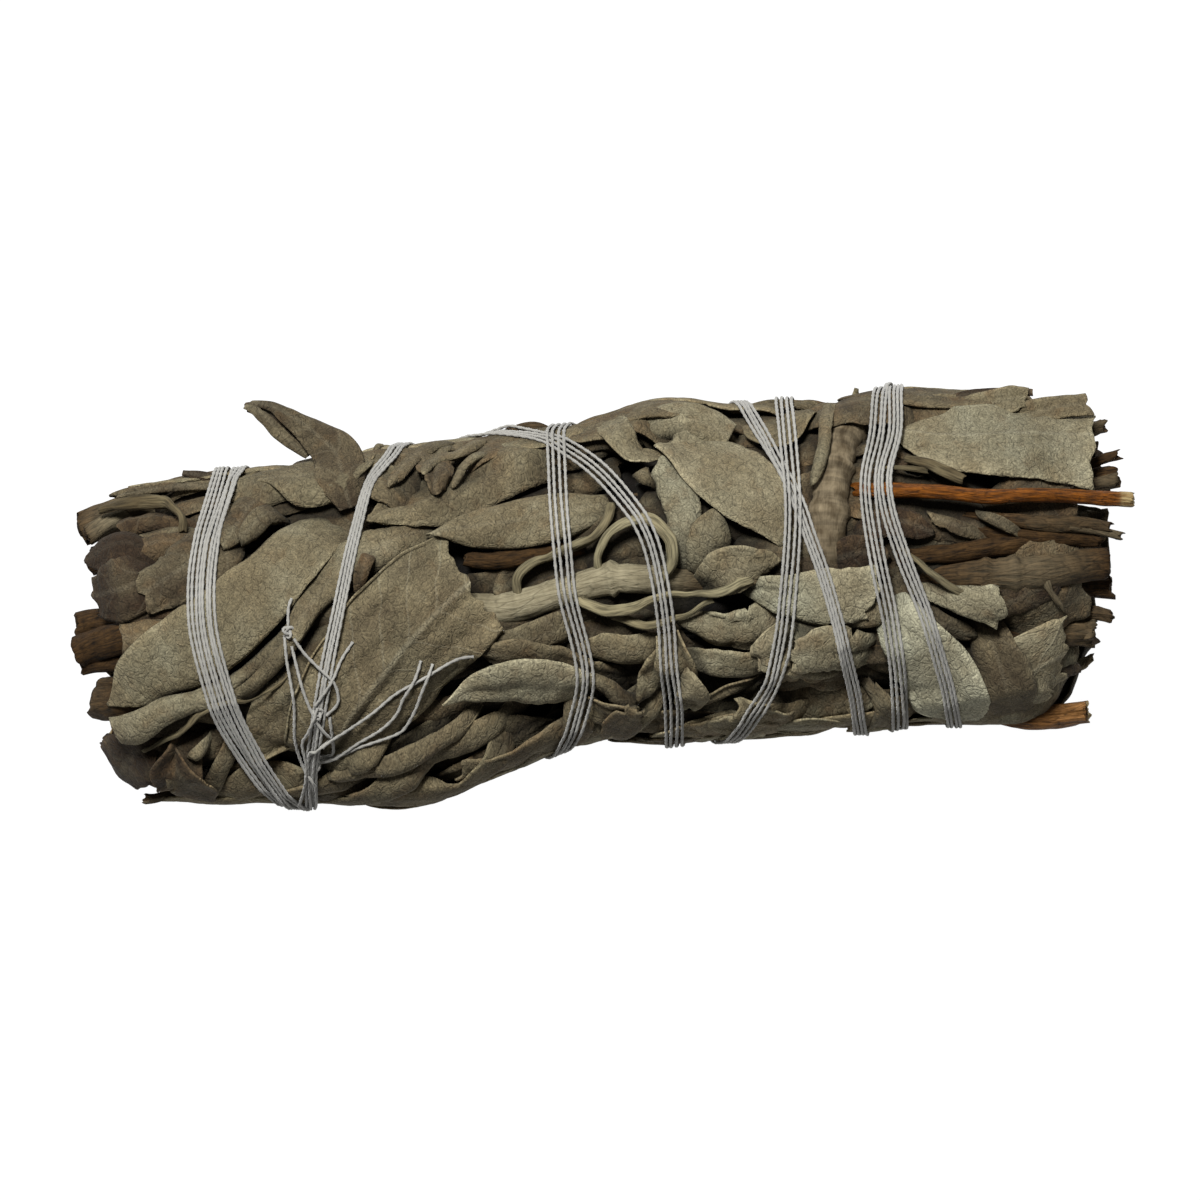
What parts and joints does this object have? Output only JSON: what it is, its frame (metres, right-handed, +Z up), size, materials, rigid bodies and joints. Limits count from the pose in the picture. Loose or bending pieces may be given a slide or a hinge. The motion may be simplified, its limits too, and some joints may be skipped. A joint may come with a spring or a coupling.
{
  "type": "dried sage bunch",
  "caption": "Bunch of dried sage sprigs, leaves and cut woody stems, lying down and wound with cotton thread.",
  "frame": {"origin": "on the surface that the bunch lies on, under the middle of its bounding box", "axes": "+X along the bunch, towards the end with the long peeled twig; +Y across it, towards the side where one leaf stands out; +Z up"},
  "size_m": [0.1074, 0.042, 0.0314],
  "materials": {
    "dried_leaf": "matte",
    "woody_stem": "matte",
    "beige_bark": "matte",
    "peeled_wood": "satin",
    "cotton_thread": "matte"
  },
  "bodies": {
    "root": {"sprig_1_leaves": "dried_leaf", "sprig_2_leaves": "dried_leaf", "sprig_3_leaves": "dried_leaf", "sprig_4_leaves": "dried_leaf", "sprig_5_leaves": "dried_leaf", "sprig_6_leaves": "dried_leaf", "sprig_7_leaves": "dried_leaf", "sprig_1_stem": "woody_stem", "sprig_2_stem": "woody_stem", "sprig_3_stem": "woody_stem", "sprig_4_stem": "woody_stem", "sprig_5_stem": "woody_stem", "sprig_6_stem": "woody_stem", "sprig_7_stem": "woody_stem", "bare_stem": "beige_bark", "peeled_twig": "peeled_wood", "binding_thread": "cotton_thread"}
  },
  "joints": []
}
